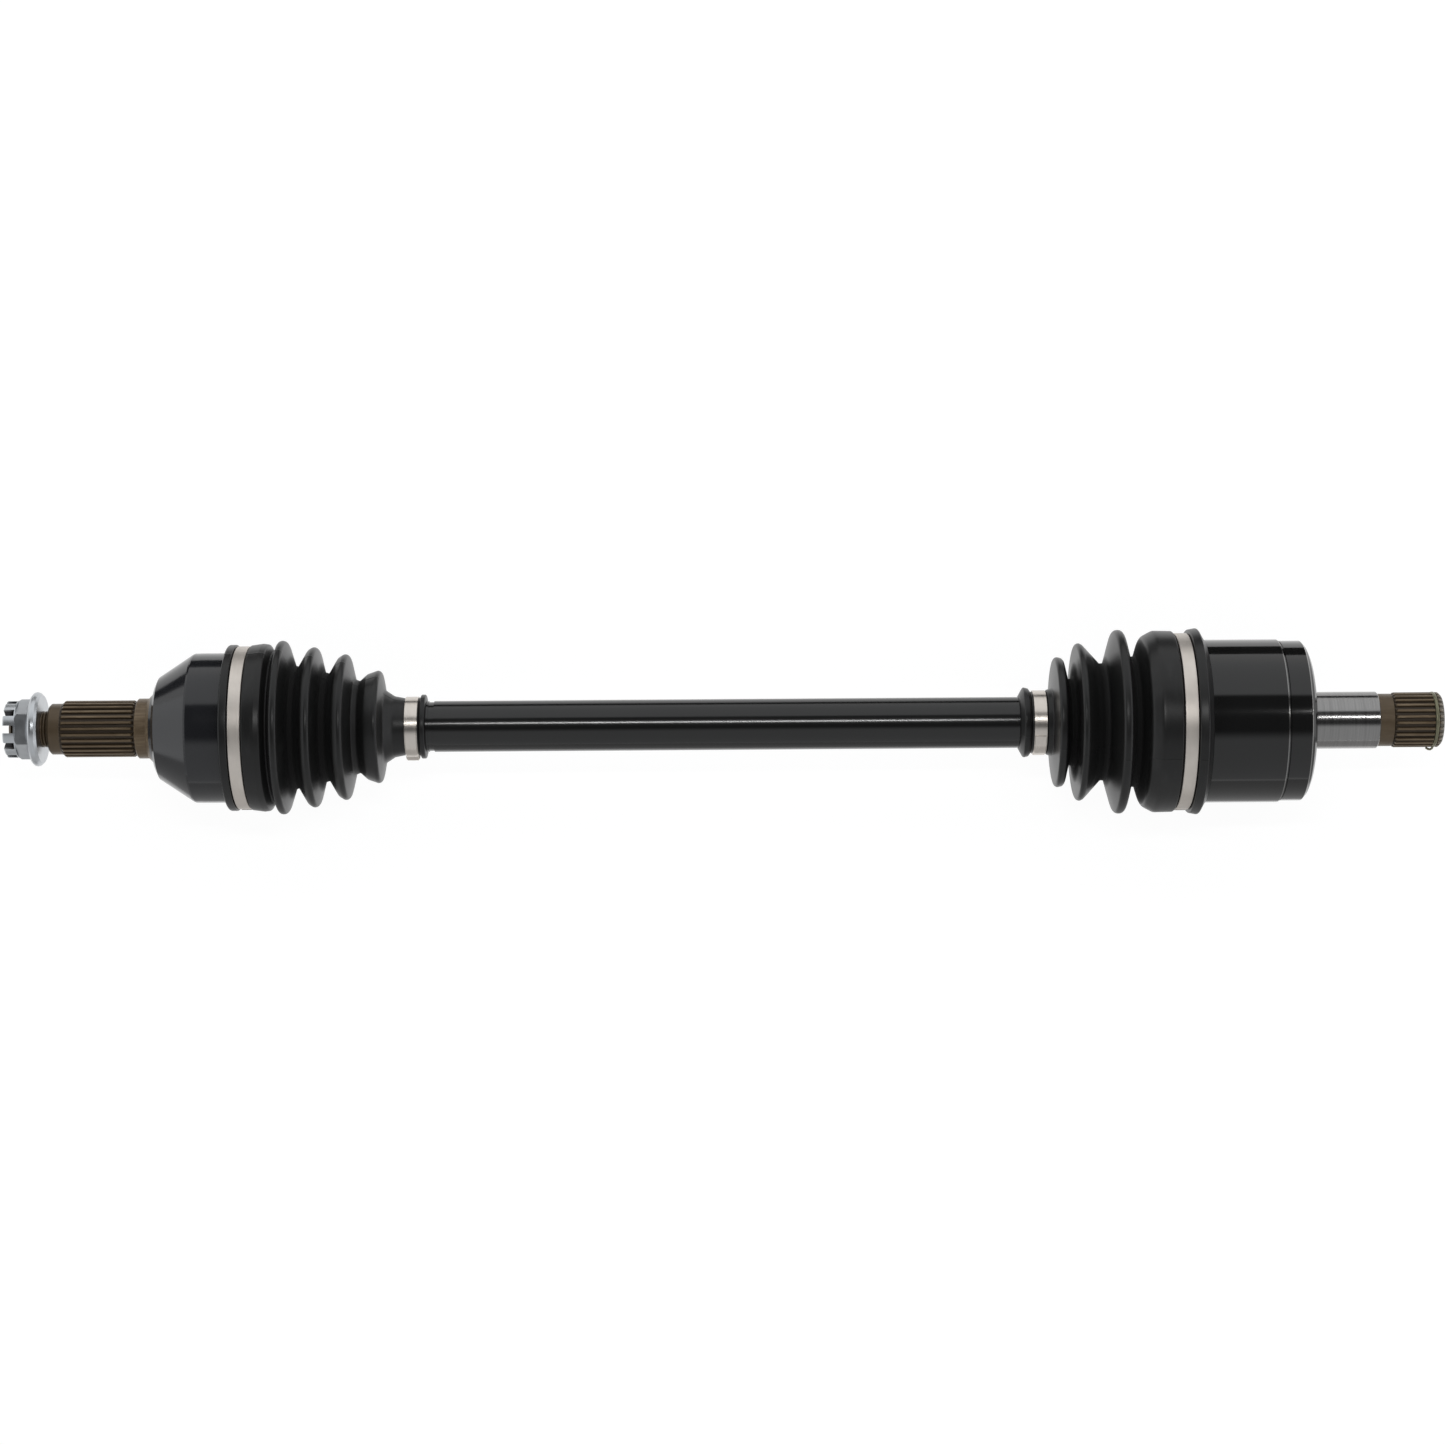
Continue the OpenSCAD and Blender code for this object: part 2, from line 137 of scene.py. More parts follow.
def level_sheet(name, half, y_from, y_to, z, material):
    """A flat sheet of the studio, half its length each way along the axle."""
    mesh = bpy.data.meshes.new(name)
    corners = [(-half, y_from, z), (half, y_from, z), (half, y_to, z), (-half, y_to, z)]
    mesh.from_pydata(corners, [], [(0, 1, 2, 3)])
    mesh.materials.append(material)
    sheet = bpy.data.objects.new(name, mesh)
    bpy.context.scene.collection.objects.link(sheet)
    return sheet


def reflection_sheet(name, y_from, y_to, brightness):
    """A sheet just over the floor that only shows in glossy reflections: a painted dark or grey reflection."""
    material = bpy.data.materials.new(name)
    tree = nodes_of(material)
    glow = node(tree, "ShaderNodeEmission", {"Color": (1, 1, 1, 1), "Strength": brightness})
    node(tree, "ShaderNodeOutputMaterial", {"Surface": glow.outputs[0]})
    sheet = level_sheet(name, REFLECTION_SHEET_HALF, y_from, y_to, cad_low.z + REFLECTION_SHEET_LIFT * MM, material)
    for ray in ("camera", "diffuse", "shadow", "transmission", "volume_scatter"):
        setattr(sheet, "visible_" + ray, False)


def nodes_of(tree_owner):
    tree_owner.use_nodes = True
    tree = tree_owner.node_tree
    tree.nodes.clear()
    return tree


def node(tree, kind, inputs=(), **settings):
    """Adds a node, sets its properties, and fills its inputs with values or links."""
    made = tree.nodes.new(kind)
    for name, value in settings.items():
        setattr(made, name, value)
    for key, value in dict(inputs).items():
        if isinstance(value, bpy.types.NodeSocket):
            tree.links.new(value, made.inputs[key])
        else:
            made.inputs[key].default_value = value
    return made


def math_node(tree, operation, a, b=0.0):
    return node(tree, "ShaderNodeMath", {0: a, 1: b}, operation=operation).outputs[0]


def product(tree, a, b):
    return math_node(tree, "MULTIPLY", a, b)


def larger(tree, a, b):
    return math_node(tree, "MAXIMUM", a, b)


def smooth_step(tree, value, start, end):
    """0 where value is below start, 1 above end."""
    return node(tree, "ShaderNodeMapRange", {"Value": value, "From Min": start, "From Max": end},
                interpolation_type="SMOOTHSTEP").outputs["Result"]


def studio():
    """A soft room: a bright wall past the top of the picture, a dimmer wall opposite, bright ends and a
    dark ceiling, with narrow lamps overhead and sheets low on both sides that paint reflections."""
    world = bpy.data.worlds.new("studio")
    bpy.context.scene.world = world
    tree = nodes_of(world)
    way = node(tree, "ShaderNodeTexCoord").outputs["Generated"]
    parts = node(tree, "ShaderNodeSeparateXYZ", {0: way}).outputs
    turn = math_node(tree, "ARCTAN2", parts["Y"], parts["Z"])
    upper = smooth_step(tree, turn, 0.60, 0.68)
    lower = product(tree, smooth_step(tree, product(tree, turn, -1), 0.22, 0.5), 0.62)
    ends = product(tree, smooth_step(tree, math_node(tree, "ABSOLUTE", parts["X"]), 0.6, 0.9), 1.3)
    walls = larger(tree, math_node(tree, "ADD", upper, lower), ends)
    light = math_node(tree, "ADD", walls, 0.05)
    shade = node(tree, "ShaderNodeBackground", {"Color": (0.97, 0.985, 1, 1), "Strength": light})
    node(tree, "ShaderNodeOutputWorld", {"Surface": shade.outputs[0]})
    strip_light("bar_strip", x=0, length=0.56, width=0.055, power=3.6)
    strip_light("journal_strip", x=0.652, length=0.1, width=0.05, power=0.9)
    # Painted reflections: a dark band and a grey band that show only in glossy reflections.
    reflection_sheet("dark_reflection_sheet", y_from=0.110, y_to=0.237, brightness=0.01)
    reflection_sheet("grey_reflection_sheet", y_from=-1.2, y_to=-0.062, brightness=0.5)
    bpy.context.scene.view_settings.view_transform = "Standard"


def floor():
    """A plain white floor at the height of the axle's lowest point."""
    material = bpy.data.materials.new("floor")
    tree = nodes_of(material)
    shade = node(tree, "ShaderNodeBsdfPrincipled", {
        "Base Color": (0.12, 0.12, 0.12, 1), "Roughness": 0.9, "Specular IOR Level": 0.1,
        "Emission Color": (1, 1, 1, 1), "Emission Strength": 0.93})
    node(tree, "ShaderNodeOutputMaterial", {"Surface": shade.outputs[0]})
    level_sheet("floor", FLOOR_HALF, -FLOOR_HALF, FLOOR_HALF, cad_low.z, material)


# ---------- meshes ----------

ARC_STEP = math.radians(9)
LEAST_STEP = 0.02     # points of an inset path that are closer along u are left out
LEAST_CUT = 0.05      # points this close to where a path is cut are left out
SHARP = math.radians(35)
WELD = 1e-7           # metres


def rounded(outline):
    """An outline's [u, r, radius] points as a path, with an arc at each rounded corner."""
    path = []
    for i, (u, r, radius) in enumerate(outline):
        here = Vector((u, r))
        if not radius:
            path.append(here)
            continue
        before = (Vector(outline[i - 1][:2]) - here).normalized()
        after = (Vector(outline[i + 1][:2]) - here).normalized()
        half = before.angle(after) / 2
        middle = here + (before + after).normalized() * radius / math.sin(half)
        first = here + before * radius / math.tan(half) - middle
        last = here + after * radius / math.tan(half) - middle
        sweep = first.angle_signed(last)
        steps = max(3, math.ceil(abs(sweep) / ARC_STEP))
        for k in range(steps + 1):
            path.append(middle + Matrix.Rotation(-sweep * k / steps, 2) @ first)
    return path


def spaced(path, step):
    """The same path, with points added so that none are more than step apart."""
    made = [path[0]]
    for a, b in zip(path, path[1:]):
        parts = max(1, math.ceil((b - a).length / step))
        made += [a.lerp(b, k / parts) for k in range(1, parts + 1)]
    return made


def inset(path, depth):
    """The path moved towards the axis by depth, with what folds back on itself left out."""
    moved = []
    for i, point in enumerate(path):
        along_path = path[min(i + 1, len(path) - 1)] - path[max(i - 1, 0)]
        along_path.normalize()
        point = point + depth * Vector((along_path.y, -along_path.x))
        if not moved or point.x > moved[-1].x + LEAST_STEP:
            moved.append(point)
    return moved


def cut_between(path, start, end):
    """The stretch of a path, whose u grows all along, from one u to another."""
    def at(u):
        for a, b in zip(path, path[1:]):
            if a.x <= u <= b.x:
                return a.lerp(b, (u - a.x) / max(b.x - a.x, 1e-9))
        return path[-1].copy() if u > path[-1].x else path[0].copy()
    inside = [p for p in path if start + LEAST_CUT < p.x < end - LEAST_CUT]
    return [at(start)] + inside + [at(end)]


def link_mesh(name, verts, faces, sharp=SHARP):
    """A smooth-shaded object from vertices and faces, with its steeper edges left sharp."""
    mesh = bpy.data.meshes.new(name)
    mesh.from_pydata(verts, [], faces)
    work = bmesh.new()
    work.from_mesh(mesh)
    bmesh.ops.remove_doubles(work, verts=work.verts, dist=WELD)
    bmesh.ops.recalc_face_normals(work, faces=work.faces)
    work.to_mesh(mesh)
    work.free()
    mesh.shade_smooth()
    mesh.set_sharp_from_angle(angle=sharp)
    obj = bpy.data.objects.new(name, mesh)
    bpy.context.scene.collection.objects.link(obj)
    return obj


def turned(name, side, profile, angles, radius=lambda u, r, angle: r, closed=True):
    """A closed profile of (u, r) points turned about the axis; radius may vary r round the turn.

    The turn is a whole one, or stops at the first and last angle, with flat ends, if not closed."""
    verts = [round_place(side, u, radius(u, r, angle), angle) for u, r in profile for angle in angles]
    n, m = len(profile), len(angles)
    faces = [(i * m + k, i * m + (k + 1) % m, (i + 1) % n * m + (k + 1) % m, (i + 1) % n * m + k)
             for i in range(n) for k in range(m if closed else m - 1)]
    if not closed:
        faces += [[i * m for i in range(n)], [i * m + m - 1 for i in reversed(range(n))]]
    return link_mesh(name, verts, faces)


def round_place(side, u, r, angle):
    return Vector((along(side, u), r * MM * math.sin(angle), r * MM * math.cos(angle)))


def tube(name, points, radius, sides=10):
    """A round wire along a path of points, with domed ends."""
    dome_r, dome_h = 0.45 * radius, 0.6 * radius
    first = points[0].lerp(points[1], -dome_h / (points[1] - points[0]).length)
    last = points[-1].lerp(points[-2], -dome_h / (points[-2] - points[-1]).length)
    path = [first] + points + [last]
    sizes = [dome_r] + [radius] * len(points) + [dome_r]
    verts = []
    side_way = Vector((0, 0, 1))
    for i, (place, size) in enumerate(zip(path, sizes)):
        way = (path[min(i + 1, len(path) - 1)] - path[max(i - 1, 0)]).normalized()
        side_way = (side_way - way * side_way.dot(way)).normalized()
        third = way.cross(side_way)
        for angle in even_angles(sides):
            verts.append(place + size * (side_way * math.cos(angle) + third * math.sin(angle)))
    faces = []
    for i in range(len(path) - 1):
        near, far = i * sides, (i + 1) * sides
        for k in range(sides):
            beside = (k + 1) % sides
            faces.append((near + k, near + beside, far + beside, far + k))
    faces += [list(range(sides)), list(range(len(verts) - sides, len(verts)))]
    return link_mesh(name, verts, faces, math.radians(60))


def even_angles(count):
    return [k * math.tau / count for k in range(count)]


# ---------- boots ----------

RUBBER_WALL = 1.5
PATH_STEP = 1.6       # longest stretch of a boot's outline between two points
BOOT_STEPS = 160      # points round a boot
VALLEY_REACH = 9      # how far to each side of a point its neighbouring crests are looked for
VALLEY_DEPTH = (2, 8)     # how deep below those crests the shade starts, and is full
OUTER_SEAT_R = 14.3
INNER_SEAT_R = 15.3
OUTER_BAND_R = 39.8
INNER_BAND_R = 43.2
LOOSE = 0.6           # how far a boot's end lip stands off the bar

# Outline of each boot, from its large end to its small end: [u, r, radius of the rounded corner]
BOOT_OUTLINES = {
    "outer": [
        [-1.6, 38.4, 0], [-1.3, 41.5, 1.2], [2.6, 41.5, 0.6], [2.9, OUTER_BAND_R, 0.2],
        [9.7, OUTER_BAND_R, 0.2], [10.1, 41.2, 0.5], [16, 42, 2.4], [18.7, 41.6, 1.2],
        [21.4, 36.8, 0.7], [23.9, 43.4, 1.8], [26.9, 43.4, 2], [31, 31.2, 1], [33.4, 30.3, 1.2],
        [38.4, 38.8, 3], [42.2, 41.2, 2], [45.8, 27.7, 0.9], [48.7, 26.8, 1.2],
        [53.4, 34.8, 3], [57.8, 37.6, 2], [61.2, 24, 0.9], [63.8, 22.9, 1.2],
        [67.6, 26.4, 4], [74.2, 28.7, 1.8], [76.3, 18.4, 2.6], [81, 15.3, 3], [86.2, OUTER_SEAT_R, 0.4],
        [93.8, OUTER_SEAT_R, 0.3], [94.6, 16, 0.5], [96.7, 16, 0.8], [97.2, bar_r + LOOSE, 0]],
    "inner": [
        [9.6, cup_r + 0.4, 0], [11.4, 44, 1.2], [12.8, 46.6, 1], [17, 45.8, 0.6],
        [17.3, INNER_BAND_R, 0.2], [24.4, INNER_BAND_R, 0.2], [25.2, 45.2, 0.7],
        [34.6, 45.4, 4], [40.2, 42.4, 4], [43.3, 32.7, 1], [46.3, 32.5, 1],
        [49.9, 45.9, 2.2], [53.8, 45.9, 2.2], [58.7, 29.4, 1], [61.2, 29.2, 1.4],
        [70, 38.8, 2.5], [73, 40.2, 1.6], [73.9, 22.4, 0.8], [76.9, 21.3, 1],
        [79.6, 32, 2], [83.6, 32.8, 1.6], [85.1, 17, 0.8], [87.6, 16.2, 0.4],
        [87.9, INNER_SEAT_R, 0.3], [95.6, INNER_SEAT_R, 0.3], [96.8, 17, 0.4],
        [99.2, 17.6, 1], [101.6, bar_r + LOOSE, 0]]}

# The stretches of each boot, from the bar's end: two bodies named for each, and the u where it starts and ends;
# only where they meet is used, to cut the boot
BOOT_BENDS = {
    "outer": [("shaft", "outer_upper_ball", 72, 53), ("outer_upper_ball", "outer_cage_set", 53, 40),
              ("outer_cage_set", "outer_lower_ball", 40, 27.5), ("outer_lower_ball", "outer_end", 27.5, 14)],
    "inner": [("shaft", "inner_cage_set", 82, 62), ("inner_cage_set", "inner_pivot_balls", 62, 49),
              ("inner_pivot_balls", "inner_end", 49, 29)]}
# The housing's rim and radius under each boot's large end, and where the folds end at the bar
BOOT_FOLDS = {"outer": (bell_rim, bell_r, 83), "inner": (cup_rim, cup_r, 86)}
MOULD_LINE = {"outer": math.radians(62), "inner": math.radians(-24.6)}
FLASH = 0.12          # height of the thin ridge where the mould's halves met
FLASH_HALF = math.radians(0.4)


def boot_angles(side):
    """Even steps round the boot, with finer ones across its two mould lines."""
    angles = set(even_angles(BOOT_STEPS))
    for line in (MOULD_LINE[side], MOULD_LINE[side] + math.pi):
        angles = {a for a in angles if abs(math.remainder(a - line, math.tau)) > math.radians(1)}
        angles |= {(line + math.radians(d)) % math.tau for d in (-0.6, -0.22, 0, 0.22, 0.6)}
    return sorted(angles)


def mark_folds(piece, side, outside):
    """Stores on each vertex how deep it lies between two folds, 0 on a crest and 1 in a valley, for the rubber's
    painted shade.
    """
    depth = piece.data.attributes.new("fold_depth", "FLOAT", "POINT")
    for vertex, value in zip(piece.data.vertices, depth.data):
        u = local_u(side, vertex.co.x)
        r = math.hypot(vertex.co.y, vertex.co.z) / MM
        before = max((p.y for p in outside if u - VALLEY_REACH < p.x <= u), default=r)
        after = max((p.y for p in outside if u <= p.x < u + VALLEY_REACH), default=r)
        share = (min(before, after) - r - VALLEY_DEPTH[0]) / (VALLEY_DEPTH[1] - VALLEY_DEPTH[0])
        value.value = min(1.0, max(0.0, share))


def boot(side):
    """One boot as thin rubber pieces, cut where the stretches listed for it meet."""
    rim, housing_r, neck = BOOT_FOLDS[side]
    outside = spaced(rounded(BOOT_OUTLINES[side]), PATH_STEP)
    start, end = outside[0].x, outside[-1].x
    folds = [p for p in inset(outside, RUBBER_WALL) if rim + 1 < p.x < neck]
    sleeve = [Vector((start, housing_r + clear)), Vector((rim + clear, housing_r + clear)),
              Vector((rim + clear + 0.02, housing_r - 0.8))]
    on_bar = [Vector((neck + 1, bar_r + clear)), Vector((end, bar_r + clear))]
    inside = sleeve + folds + on_bar
    line = MOULD_LINE[side]

    def with_flash(u, r, angle):
        off = abs(math.remainder(angle - line, math.pi))
        on_outside = r > housing_r + 0.3 or u > rim + 1
        return r + FLASH * max(0.0, 1 - off / FLASH_HALF) * on_outside

    bounds_u = [end] + [bend[3] for bend in BOOT_BENDS[side][:-1]] + [start]
    for k, (body_a, body_b, far, near) in enumerate(BOOT_BENDS[side]):
        outer_path = cut_between(outside, bounds_u[k + 1], bounds_u[k])
        inner_path = cut_between(inside, bounds_u[k + 1], bounds_u[k])
        profile = [(p.x, p.y) for p in outer_path] + [(p.x, p.y) for p in reversed(inner_path)]
        piece = turned(f"{side}_boot_{k + 1}", side, profile, boot_angles(side), with_flash)
        mark_folds(piece, side, outside)
        piece.data.materials.append(materials["rubber"])
        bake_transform(piece)
    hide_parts(f"{side}_boot")


# ---------- clamps and the stub's circlip ----------

DOWN = -math.pi / 2   # the angle of -Y, the lower side in the picture
ON_RUBBER = 0.02      # gap between a band and what is under it
SIDE_PLAY = 0.2       # gap at each edge of a band, in its seat
BAND_STEPS = 360
LAP_STEPS = 48
LAP_THICK = 0.4
LAP_NARROWER = 0.5    # how much the outer layer stays back from each edge
LAP_EDGE = 0.12
EAR_HALF = 3.4        # half the length of a crimped ear, round the boot
HOOK_WIRE_R = 0.55
LARGE_BAND = 0.9      # thickness of the large bands
SMALL_BAND = 0.7
# The angles between which each clamp's outer layer lies
LARGE_LAP = (DOWN - 0.35, DOWN - 0.05)
OUTER_SMALL_LAP = (math.radians(-118), math.radians(6))
INNER_SMALL_LAP = (math.radians(-100), math.radians(-25))


def band_profile(low, high, inside, thick, edge=0.2):
    """The section of a flat steel band with rolled edges."""
    return [(low + edge, inside), (high - edge, inside), (high, inside + edge),
            (high, inside + thick - edge), (high - edge, inside + thick),
            (low + edge, inside + thick), (low, inside + thick - edge), (low, inside + edge)]


def bulge(angle, middle, half_width, height):
    """A smooth rise of the given height round one angle."""
    off = abs(math.remainder(angle - middle, math.tau)) / half_width
    return height * (0.5 + 0.5 * math.cos(math.pi * off)) if off < 1 else 0.0


def clamp(node_name, body, side, seat, seat_r, thick, lap, ear):
    """A band round a boot. seat is where it sits along u, lap the angles that its outer layer covers,
    and ear the height of its crimped ear, or 0."""
    low, high = seat[0] + SIDE_PLAY, seat[1] - SIDE_PLAY
    inside = seat_r + ON_RUBBER
    ear_half = EAR_HALF / seat_r

    def with_ear(u, r, angle):
        return r + bulge(angle, DOWN, ear_half, ear)

    ring_profile = band_profile(low, high, inside, thick)
    ring = turned(node_name + "_ring", side, ring_profile, even_angles(BAND_STEPS), with_ear)
    lap_profile = band_profile(low + LAP_NARROWER, high - LAP_NARROWER, inside + thick + ON_RUBBER,
                               LAP_THICK, LAP_EDGE)
    lap_angles = [lap[0] + (lap[1] - lap[0]) * k / LAP_STEPS for k in range(LAP_STEPS + 1)]
    layer = turned(node_name + "_lap", side, lap_profile, lap_angles, with_ear, closed=False)
    for piece in (ring, layer):
        piece.data.materials.append(materials["small_band" if "small" in node_name else "band"])
        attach(piece, body)
    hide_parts(node_name)


def circlip_hook():
    """The bent end of the stub's circlip, which stands out of its groove at the lower side."""
    # each point's u, r and angle from DOWN
    bends = [(-105.4, 13.0, 0.2), (-105.35, 13.5, 0.13), (-105.0, 14.4, 0.07), (-104.3, 14.9, 0.03),
             (-103.5, 14.8, 0), (-102.8, 14.35, -0.02), (-102.4, 14.1, -0.03)]
    points = [round_place("inner", u, r, DOWN + turn) for u, r, turn in bends]
    hook = tube("stub_circlip_hook", points, HOOK_WIRE_R * MM)
    hook.data.materials.append(materials["wire"])
    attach(hook, "inner_end")


# ---------- materials ----------

BUMP_HEIGHT = 0.0001
EDGE = 0.1            # half the width over which one finish passes into another
THIN_EDGE = 0.08
LINES_ROUND = (1, 0.04, 0.04)     # stretches a noise into lines that run round the axle
EVEN = (1, 1, 1)

# Where the finishes of the forgings change, as distances u from their joint's centre, and the
# radius over the teeth of each stub
PAST_END = -130
BELL_TO_STUB = -39.6
OUTER_TEETH_END = -84.7
STEP_LINE = (-27.6, -26.75)       # the bare edge of the step on the cup
RIM_LINE = (-38.9, -38.35)        # the bare edge at the cup's end
RIM_LINE_R = (39.3, 39.7)
JOURNAL = (-77.2, -44.4)
UNDERCUT = (-84.4, -77.2)
INNER_TIP = -106.8
CROWN = (-115, -106.4)            # the nut's slotted end
SLOT_FLOOR_R = (12.4, 13.9)
TOOTH_TIP_R = {"outer": 14.1, "inner": 13.7}

def object_place(tree):
    return node(tree, "ShaderNodeTexCoord").outputs["Object"]


def place_parts(tree):
    """The place on the object, its x, and its distance from the axle's axis."""
    place = object_place(tree)
    across = node(tree, "ShaderNodeVectorMath", {0: place, 1: (0, 1, 1)}, operation="MULTIPLY").outputs[0]
    r = node(tree, "ShaderNodeVectorMath", {0: across}, operation="LENGTH").outputs["Value"]
    return place, node(tree, "ShaderNodeSeparateXYZ", {0: place}).outputs["X"], r


def stretch(tree, x, side, u_from, u_to, soft=EDGE):
    """1 on the parts of one joint that lie between two distances u, 0 elsewhere."""
    low, high = sorted((along(side, u_from), along(side, u_to)))
    up = smooth_step(tree, x, low - soft * MM, low + soft * MM)
    down = smooth_step(tree, x, high - soft * MM, high + soft * MM)
    return math_node(tree, "SUBTRACT", up, down)


def ranged(tree, value, low, high):
    return node(tree, "ShaderNodeMapRange", {"Value": value, "To Min": low, "To Max": high}).outputs[0]


def mix_value(tree, share, a, b):
    return node(tree, "ShaderNodeMix", {0: share, 2: a, 3: b}).outputs[0]


def bump(tree, height, strength):
    inputs = {"Height": height, "Strength": strength, "Distance": BUMP_HEIGHT}
    return node(tree, "ShaderNodeBump", inputs).outputs[0]


def noise(tree, place, scale, detail=3.0, squeeze=EVEN):
    sized = node(tree, "ShaderNodeVectorMath", {0: place, 1: squeeze}, operation="MULTIPLY").outputs[0]
    return node(tree, "ShaderNodeTexNoise", {"Vector": sized, "Scale": scale, "Detail": detail}).outputs[0]


def mix_colour(tree, share, a, b):
    made = node(tree, "ShaderNodeMix", data_type="RGBA")
    for socket, value in ((made.inputs[0], share), (made.inputs[6], a), (made.inputs[7], b)):
        if isinstance(value, bpy.types.NodeSocket):
            tree.links.new(value, socket)
        else:
            socket.default_value = value
    return made.outputs[2]


def finish_material(name, build, **fixed):
    """A material whose shader's even values are fixed, and whose varied ones build links."""
    material = bpy.data.materials.new(name)
    tree = nodes_of(material)
    inputs = {key.replace("_", " "): value for key, value in fixed.items()}
    shade = node(tree, "ShaderNodeBsdfPrincipled", inputs)
    build(tree, shade)
    node(tree, "ShaderNodeOutputMaterial", {"Surface": shade.outputs[0]})
    return material


def link(tree, shade, **values):
    """Links node outputs to the shader's inputs of the same names."""
    for key, value in values.items():
        tree.links.new(value, shade.inputs[key.replace("_", " ")])


def grey(level):
    return (level, level, level, 1)


def rubber(tree, shade):
    place = object_place(tree)
    cloud = noise(tree, place, 45, 4)
    bloom = noise(tree, place, 160, 5, (1, 0.4, 0.4))
    grain = noise(tree, place, 1800, 2)
    dusty = smooth_step(tree, bloom, 0.52, 0.75)
    plain = mix_colour(tree, cloud, grey(0.005), grey(0.009))
    dusted = mix_colour(tree, product(tree, dusty, 0.3), plain, grey(0.025))
    # Painted shade: the rubber is painted nearly black down in the valleys between the folds.
    valley_shade = node(tree, "ShaderNodeAttribute", attribute_name="fold_depth").outputs["Fac"]
    link(tree, shade, Base_Color=mix_colour(tree, valley_shade, dusted, grey(0.002)),
         Roughness=mix_value(tree, valley_shade, ranged(tree, cloud, 0.3, 0.38), 0.85),
         Normal=bump(tree, grain, 0.08))


def brown_wear_and_shade(tree, place, r, tip_r, plain):
    """Brown phosphate, painted dark between the teeth as shade and paler on their tips as painted light,
    with streaks rubbed bright along the tips as wear, and partly paler where the stub is plain and thinner than
    its teeth."""
    cloud = noise(tree, place, 130, 4)
    streak = noise(tree, place, 700, 3, (0.12, 1, 1))
    # Painted light and shade: the brown is dark down between the teeth and paler on their tips.
    ridge = smooth_step(tree, r, (tip_r - 0.8) * MM, (tip_r - 0.1) * MM)
    rubbed = product(tree, ridge, smooth_step(tree, streak, 0.45, 0.7))
    root_shade = mix_colour(tree, cloud, (0.026, 0.018, 0.010, 1), (0.052, 0.035, 0.020, 1))
    pale = mix_colour(tree, cloud, (0.090, 0.061, 0.032, 1), (0.145, 0.102, 0.058, 1))
    lit_share = larger(tree, ridge, product(tree, plain, 0.6))
    brown = mix_colour(tree, lit_share, root_shade, pale)
    return mix_colour(tree, product(tree, rubbed, 0.4), brown, (0.25, 0.19, 0.12, 1))


def outer_finish(tree, shade):
    """Black paint on the bell, brown phosphate on the stub."""
    place, x, r = place_parts(tree)
    stub = stretch(tree, x, "outer", PAST_END, BELL_TO_STUB)
    peel = noise(tree, place, 70, 3)
    paint = mix_colour(tree, peel, (0.010, 0.0105, 0.012, 1), (0.015, 0.0155, 0.018, 1))
    collar = stretch(tree, x, "outer", PAST_END, OUTER_TEETH_END)
    brown = brown_wear_and_shade(tree, place, r, TOOTH_TIP_R["outer"], collar)
    lines = noise(tree, place, 1100, 3, (1, 0.03, 0.03))
    link(tree, shade, Base_Color=mix_colour(tree, stub, paint, brown),
         Metallic=product(tree, stub, 0.35),
         Roughness=mix_value(tree, stub, ranged(tree, peel, 0.11, 0.16), ranged(tree, lines, 0.32, 0.46)),
         Normal=bump(tree, product(tree, lines, stub), 0.12))


def inner_finish(tree, shade):
    """Gloss black on the cup, a ground journal, brown phosphate on the spline, and bare worn edges."""
    place, x, r = place_parts(tree)
    journal = stretch(tree, x, "inner", *JOURNAL)
    spline = stretch(tree, x, "inner", PAST_END, JOURNAL[0])
    step = stretch(tree, x, "inner", *STEP_LINE, THIN_EDGE)
    rim = product(tree, stretch(tree, x, "inner", *RIM_LINE, THIN_EDGE),
                  smooth_step(tree, r, RIM_LINE_R[0] * MM, RIM_LINE_R[1] * MM))
    tip = product(tree, stretch(tree, x, "inner", PAST_END, INNER_TIP), 0.45)
    bare = larger(tree, journal, larger(tree, step, rim))
    metal = larger(tree, bare, product(tree, spline, 0.35))
    peel = noise(tree, place, 50, 3)
    lines = noise(tree, place, 1500, 3, (1, 0.02, 0.02))
    paint = mix_colour(tree, peel, grey(0.0055), grey(0.008))
    undercut = stretch(tree, x, "inner", *UNDERCUT)
    brown = brown_wear_and_shade(tree, place, r, TOOTH_TIP_R["inner"], undercut)
    brown = mix_colour(tree, tip, brown, (0.33, 0.31, 0.27, 1))
    steel_grey = mix_colour(tree, lines, (0.19, 0.187, 0.185, 1), (0.31, 0.305, 0.30, 1))
    colour = mix_colour(tree, spline, mix_colour(tree, bare, paint, steel_grey), brown)
    smooth = mix_value(tree, bare, ranged(tree, peel, 0.07, 0.11), ranged(tree, lines, 0.13, 0.22))
    link(tree, shade, Base_Color=colour, Metallic=metal,
         Roughness=mix_value(tree, spline, smooth, ranged(tree, lines, 0.34, 0.5)),
         Normal=bump(tree, product(tree, lines, spline), 0.1))


def bar_finish(tree, shade):
    """Gloss black paint with a faint unevenness along the bar."""
    place = object_place(tree)
    peel = noise(tree, place, 40, 2, (0.4, 1, 1))
    link(tree, shade, Base_Color=mix_colour(tree, peel, grey(0.006), grey(0.009)),
         Roughness=ranged(tree, peel, 0.13, 0.18))


def zinc(tree, shade):
    """Bright zinc plate, with painted shade that makes it darker and duller down inside the crown's slots."""
    place, x, r = place_parts(tree)
    cloud = noise(tree, place, 150, 4)
    grain = noise(tree, place, 900, 3)
    crown = stretch(tree, x, "outer", *CROWN)
    inward = smooth_step(tree, product(tree, r, -1), -SLOT_FLOOR_R[1] * MM, -SLOT_FLOOR_R[0] * MM)
    # Painted shade down inside the crown's slots and bore.
    slot_shade = product(tree, crown, inward)
    plate = mix_colour(tree, cloud, (0.40, 0.42, 0.44, 1), (0.60, 0.62, 0.64, 1))
    link(tree, shade, Base_Color=mix_colour(tree, slot_shade, plate, (0.05, 0.05, 0.055, 1)),
         Roughness=ranged(tree, cloud, 0.24, 0.36), Normal=bump(tree, grain, 0.1))


